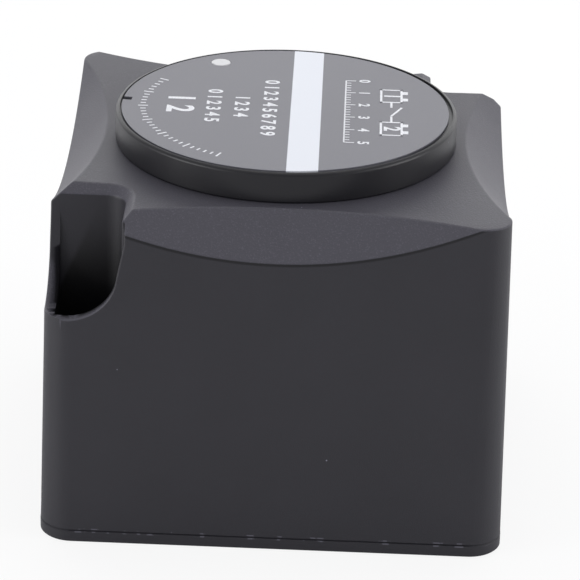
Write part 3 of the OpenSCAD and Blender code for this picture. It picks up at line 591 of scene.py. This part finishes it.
def threaded(length):
    """A rolled thread of that length, in millimetres, standing on the origin along +Z."""
    bm = bmesh.new()
    steps_a_turn = 36
    turns = int(length / thread_pitch)
    profile = [(thread_root, 0), (thread_root, 0.16), (thread_crest, 0.53)]
    profile += [(thread_crest, 0.72), (thread_root, 1.09), (thread_root, thread_pitch)]
    line = [bm.verts.new((r * MM, 0, h * MM)) for r, h in profile]
    edges = [bm.edges.new((a, b)) for a, b in zip(line, line[1:])]
    bmesh.ops.spin(
        bm, geom=line + edges, axis=(0, 0, 1), cent=(0, 0, 0), angle=2 * pi * turns,
        steps=steps_a_turn * turns, dvec=(0, 0, thread_pitch * MM / steps_a_turn), use_merge=False,
    )
    bmesh.ops.remove_doubles(bm, verts=bm.verts, dist=0.01 * MM)
    bmesh.ops.holes_fill(bm, edges=[e for e in bm.edges if e.is_boundary], sides=0)
    bmesh.ops.triangulate(bm, faces=[f for f in bm.faces if len(f.verts) > 4])
    bmesh.ops.recalc_face_normals(bm, faces=bm.faces)
    return bm


def join(bm, other):
    """Adds another mesh to bm."""
    mesh = bpy.data.meshes.new("joining")
    other.to_mesh(mesh)
    other.free()
    bm.from_mesh(mesh)
    bpy.data.meshes.remove(mesh)


def on_stud(bm, side, y):
    """Turns a mesh that stands along +Z to point out of the back wall at one stud."""
    place = Matrix.Translation(Vector((side * stud_x, y, stud_z)) * MM)
    bmesh.ops.transform(bm, matrix=place @ Matrix.Rotation(-pi / 2, 4, "X"), verts=bm.verts)
    return bm


head_r = 6.3
head_thick = 3
thread_overlap = 0.9
shank = thread_from_y - stud_head_y
studs = bmesh.new()
for side in (-1, 1):
    length = stud_end_y - thread_from_y
    envelope = turned([(0, 0.6), (4.2, 0.6), (4.2, length - 0.9), (3.2, length), (0, length)], 72)
    thread = carve(threaded(length + 2 * thread_pitch), envelope, "INTERSECT")
    join(studs, on_stud(thread, side, thread_from_y))
    plain = turned(
        [(0, head_thick), (thread_crest, head_thick), (thread_crest, shank + 0.3)]
        + [(thread_root, shank + thread_overlap), (0, shank + thread_overlap)], 72,
    )
    join(studs, on_stud(plain, side, stud_head_y))
    head = bmesh.new()
    bmesh.ops.create_cone(
        head, cap_ends=True, segments=6,
        radius1=head_r * MM, radius2=head_r * MM, depth=head_thick * MM,
    )
    bmesh.ops.translate(head, vec=(0, 0, head_thick / 2 * MM), verts=head.verts)
    soften(head, 0.2)
    join(studs, on_stud(head, side, stud_head_y))
piece("stud_pair", studs, brass, "case", ["terminal_studs"])


# Terminal washers, spring washers and nuts: punched stainless washers, split washers of square
# spring wire, and chamfered brass nuts.
washer_y = 34.96
washer_steel = metal("washer_steel", (0.64, 0.64, 0.64, 1), 0.32)
washers = bmesh.new()
splits = bmesh.new()
nuts = bmesh.new()
bore = 4.06
washer_thick = 1.6
split_r = 7.2
split_thick = 1.7
split_rise = 0.28
nut_r = 7.506
nut_thick = 6.5
for side in (-1, 1):
    flat = turned(
        [(bore, 0.05), (bore + 0.1, 0), (7.85, 0), (8, 0.15)] + corner(7.8, 1.4, 0.2, 0, 3)
        + [(bore + 0.1, washer_thick), (bore, washer_thick - 0.1)], 96,
    )
    join(washers, on_stud(flat, side, washer_y))
    split = bmesh.new()
    section = [(bore, 0), (split_r, 0), (split_r, split_thick), (bore, split_thick)]
    line = [split.verts.new((r * MM, 0, h * MM)) for r, h in section]
    edges = [split.edges.new((a, b)) for a, b in zip(line, line[1:] + line[:1])]
    start = split.faces.new(line)
    steps = 70
    bmesh.ops.spin(
        split, geom=[start] + line + edges, axis=(0, 0, 1), cent=(0, 0, 0), angle=radians(351),
        steps=steps, dvec=(0, 0, split_rise * MM / steps), use_merge=False,
    )
    bmesh.ops.recalc_face_normals(split, faces=split.faces)
    bmesh.ops.rotate(
        split, matrix=Matrix.Rotation(radians(70), 3, "Z"), cent=(0, 0, 0), verts=split.verts,
    )
    soften(split, 0.12, segments=2, angle=50)
    join(splits, on_stud(split, side, washer_y + washer_thick))
    blank = bmesh.new()
    bmesh.ops.create_cone(
        blank, cap_ends=True, segments=6,
        radius1=nut_r * MM, radius2=nut_r * MM, depth=nut_thick * MM,
    )
    bmesh.ops.translate(blank, vec=(0, 0, nut_thick / 2 * MM), verts=blank.verts)
    dome = turned(
        [(bore - 0.35, 0.4), (bore + 0.3, 0), (6.5, 0), (7.6, 0.62), (7.6, nut_thick - 0.62)]
        + [(6.5, nut_thick), (bore + 0.3, nut_thick), (bore - 0.35, nut_thick - 0.4)], 120,
    )
    join(nuts, on_stud(carve(blank, dome, "INTERSECT"), side, washer_y + 3.6))
piece("washer_pair", washers, washer_steel, "case", ["terminal_washers"])
piece("split_washer_pair", splits, washer_steel, "case", ["spring_washers"])
piece("nut_pair", nuts, brass, "case", ["terminal_nuts"])


# Lead gland: a black rubber grommet pulled into the back wall, with two sealing ribs and a
# rounded nose round the hole for the negative lead.
def rubber(name):
    finish = Finish(name)
    bloom = finish.noise(0.0025, 4.0)
    skin = finish.noise(0.00025, 2.0)
    finish.set(
        Base_Color=finish.blend(bloom, (0.018, 0.018, 0.019, 1), (0.034, 0.034, 0.036, 1)),
        Roughness=0.62 + (bloom - 0.5) * 0.16,
        Specular_IOR_Level=0.35,
    )
    finish.bump(skin, 0.000015)
    return finish.material


seal_rubber = rubber("seal_rubber")
gland_x = -19.0
gland_z = 7.6
gland_bore = 1.5
gland_neck = 2.55
gland_flange = 3.6
inner = 29.49
outer = 33.92
nose = 35.11
gland_outline = (
    [(gland_bore + 0.1, inner), (gland_flange, inner)]
    + [(gland_flange, inner + 1.2), (gland_neck, inner + 1.2)]
    + [(gland_neck, outer - 1.6), (gland_neck + 0.05, outer - 1.4)]
    + [(gland_neck, outer - 1.2), (gland_neck, outer)]
    + [(gland_flange, outer), (gland_flange, outer + 0.25)]
    + [(3.2, outer + 0.8), (2.7, nose - 0.1), (2.3, nose)]
    + [(gland_bore + 0.25, nose), (gland_bore, nose - 0.25), (gland_bore, inner + 0.1)]
)
gland = turned(gland_outline, 72, axis=outwards, centre=(gland_x, 0, gland_z))
piece("lead_grommet", gland, seal_rubber, "case", ["lead_gland"])


# Everything inside and underneath keeps its CAD shape and gets its own finish: rubber seals,
# zinc plated screws and magnet steel, copper and silver contacts, and the control board.
def coated(name, low, high, roughness, size, depth):
    """A finish of two near colours in patches, for laminate, cans, chips and wire."""
    finish = Finish(name)
    patch = finish.noise(size, 3.0)
    finish.set(
        Base_Color=finish.blend(patch.ease(0.35, 0.65), low, high),
        Roughness=roughness + (patch - 0.5) * 0.12,
        Specular_IOR_Level=0.5,
    )
    finish.bump(patch, depth)
    return finish.material


winding_finish = Finish("enamelled_copper")
wire_pitch = 0.0004
turn_wave = winding_finish.node(
    "ShaderNodeTexWave", {"bands_direction": "Z"},
    {"Vector": winding_finish.place, "Scale": 1 / wire_pitch / 20 * 2 * pi, "Distortion": 0.4},
)
varnish = winding_finish.noise(0.002, 3.0)
winding_finish.set(
    Base_Color=winding_finish.blend(turn_wave, (0.20, 0.055, 0.014, 1), (0.50, 0.19, 0.06, 1)),
    Roughness=0.3 + (varnish - 0.5) * 0.1,
)
winding_finish.bump(turn_wave, 0.00006)

board_finish = Finish("board_laminate")
tracks = board_finish.node(
    "ShaderNodeTexVoronoi", {"distance": "MANHATTAN", "feature": "F1"},
    {"Vector": board_finish.place, "Scale": 1 / 0.0022}, "Distance",
)
track = tracks.ease(0.34, 0.40) * (1 - tracks.ease(0.52, 0.58))
board_finish.set(
    Base_Color=board_finish.blend(track, (0.012, 0.085, 0.035, 1), (0.03, 0.17, 0.07, 1)),
    Roughness=0.3 + track * 0.08,
)
board_finish.bump(track, 0.00003)

screw_steel = metal("screw_steel", (0.56, 0.57, 0.58, 1), 0.3)
magnet_steel = metal("magnet_steel", (0.44, 0.45, 0.46, 1), 0.38)
spring_steel = metal("spring_steel", (0.55, 0.56, 0.58, 1), 0.26)
pin_steel = metal("pin_steel", (0.66, 0.66, 0.67, 1), 0.3)
copper = metal("copper", (0.74, 0.37, 0.22, 1), 0.3)
silver = metal("contact_silver", (0.80, 0.80, 0.79, 1), 0.3)
can_metal = metal("can_aluminium", (0.76, 0.77, 0.78, 1), 0.26)
nylon = coated(
    "bobbin_plastic", (0.55, 0.51, 0.42, 1), (0.64, 0.60, 0.50, 1), 0.5, 0.0012, 0.00001,
)
chip_black = coated(
    "chip_plastic", (0.016, 0.016, 0.017, 1), (0.03, 0.03, 0.031, 1), 0.55, 0.0003, 0.00001,
)
resistor_glaze = coated(
    "resistor_ceramic", (0.035, 0.035, 0.037, 1), (0.07, 0.07, 0.072, 1), 0.35, 0.0005, 0.000008,
)
lamp_milk = coated(
    "lamp_plastic", (0.66, 0.62, 0.52, 1), (0.78, 0.75, 0.66, 1), 0.28, 0.001, 0.000005,
)
finishes = {
    seal_rubber: ["base_seal", "cap_seal", "stud_seals"],
    screw_steel: ["base_screws", "bar_screws"],
    magnet_steel: ["magnet_frame", "pole_plate", "pole_core", "plunger"],
    spring_steel: ["rod_clip"],
    pin_steel: ["coil_pins"],
    brass: ["sense_pins", "push_rod"],
    copper: ["contact_bridge", "bus_bars"],
    silver: ["bridge_tips", "fixed_tips"],
    can_metal: ["capacitors"],
    nylon: ["coil_bobbin", "contact_carrier"],
    chip_black: ["control_chips"],
    resistor_glaze: ["board_resistors"],
    lamp_milk: ["status_lamp"],
    winding_finish.material: ["coil_winding"],
    board_finish.material: ["circuit_board"],
}
for material, nodes in finishes.items():
    for node in nodes:
        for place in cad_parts[node].material_slots:
            place.material = material


# Springs: two coils of drawn spring steel wire, each kept here in its CAD shape. In the relay
# each flattens towards its fixed end as its joint moves: the return spring from 9.8 to 7.5 mm,
# the contact spring from 2.9 to 2.1 mm.
springs = (
    ("return_spring", "case", "plunger_slide", 20.0, 10.09, 2.4),
    ("contact_spring", "plunger_unit", "bridge_slide", 31.5, 34.41, 0.8),
)
for node, body, joint, fixed_z, free_z, travel in springs:
    coil = piece(node + "_wire", cad_copy(node), spring_steel, body, [node])
    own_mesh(coil)


# Room: a pale floor that shows white to the camera and keeps a faint shadow, a white room
# seen in reflections, and soft lamps above, behind and at the sides.
floor_mesh = bmesh.new()
bmesh.ops.create_grid(floor_mesh, x_segments=1, y_segments=1, size=2.5)
floor_data = bpy.data.meshes.new("floor")
floor_mesh.to_mesh(floor_data)
floor_mesh.free()
floor = bpy.data.objects.new("floor", floor_data)
bpy.context.scene.collection.objects.link(floor)
paper = bpy.data.materials.new("floor_paper")
paper.use_nodes = True
paper_nodes = paper.node_tree.nodes
paper_links = paper.node_tree.links
paper_nodes["Principled BSDF"].inputs["Base Color"].default_value = (0.86, 0.86, 0.87, 1)
paper_nodes["Principled BSDF"].inputs["Roughness"].default_value = 0.9
glow = paper_nodes.new("ShaderNodeEmission")
ray = paper_nodes.new("ShaderNodeLightPath")
share = paper_nodes.new("ShaderNodeMath")
share.operation = "MULTIPLY"
share.inputs[1].default_value = 0.85
mix = paper_nodes.new("ShaderNodeMixShader")
paper_links.new(ray.outputs["Is Camera Ray"], share.inputs[0])
paper_links.new(share.outputs[0], mix.inputs[0])
paper_links.new(paper_nodes["Principled BSDF"].outputs[0], mix.inputs[1])
paper_links.new(glow.outputs[0], mix.inputs[2])
paper_links.new(mix.outputs[0], paper_nodes["Material Output"].inputs["Surface"])
floor_data.materials.append(paper)

world = bpy.data.worlds.new("room")
bpy.context.scene.world = world
world.use_nodes = True
sky = world.node_tree.nodes
sky_links = world.node_tree.links
seen = sky["Background"]
seen.inputs["Color"].default_value = (1, 1, 1, 1)
felt = sky.new("ShaderNodeBackground")
felt.inputs["Color"].default_value = (0.97, 0.98, 1, 1)
felt.inputs["Strength"].default_value = 0.55
sky_ray = sky.new("ShaderNodeLightPath")
sky_mix = sky.new("ShaderNodeMixShader")
sky_links.new(sky_ray.outputs["Is Camera Ray"], sky_mix.inputs[0])
sky_links.new(felt.outputs[0], sky_mix.inputs[1])
sky_links.new(seen.outputs[0], sky_mix.inputs[2])
sky_links.new(sky_mix.outputs[0], sky["World Output"].inputs["Surface"])


def lamp(name, place, aim, width, depth, power):
    """A soft rectangular lamp, sizes in metres, power in watts."""
    light = bpy.data.lights.new(name, "AREA")
    light.shape = "RECTANGLE"
    light.size = width
    light.size_y = depth
    light.energy = power
    holder = bpy.data.objects.new(name, light)
    bpy.context.scene.collection.objects.link(holder)
    holder.location = place
    holder.rotation_euler = (Vector(aim) - Vector(place)).to_track_quat("-Z", "Y").to_euler()


lamp("overhead", (0, 0.10, 0.75), (0, 0, 0.03), 0.7, 0.6, 1.6)
lamp("back", (0, 0.9, 0.37), (0, 0, 0.05), 2.2, 0.7, 7.5)
lamp("left", (-0.75, -0.36, 0.14), (0, 0, 0.04), 0.4, 0.28, 3.3)
lamp("right", (0.8, -0.12, 0.22), (0, 0, 0.03), 0.4, 0.5, 3.6)

camera_data = bpy.data.cameras.new("camera")
camera_data.sensor_width = 36.0
camera_data.lens = 189.834
camera = bpy.data.objects.new("camera", camera_data)
bpy.context.scene.collection.objects.link(camera)
across_view = Vector((0.99910981, 0.03199205, 0.02749713))
up_view = Vector((-0.03839081, 0.41937714, 0.90699998))
into_view = Vector((-0.01748512, 0.90724821, -0.42023202))
stand = Matrix((across_view, up_view, -into_view)).transposed().to_4x4()
camera.matrix_world = Matrix.Translation(Vector((9.5033, -424.6197, 222.9825)) * MM) @ stand
bpy.context.scene.camera = camera

bpy.context.view_layer.update()
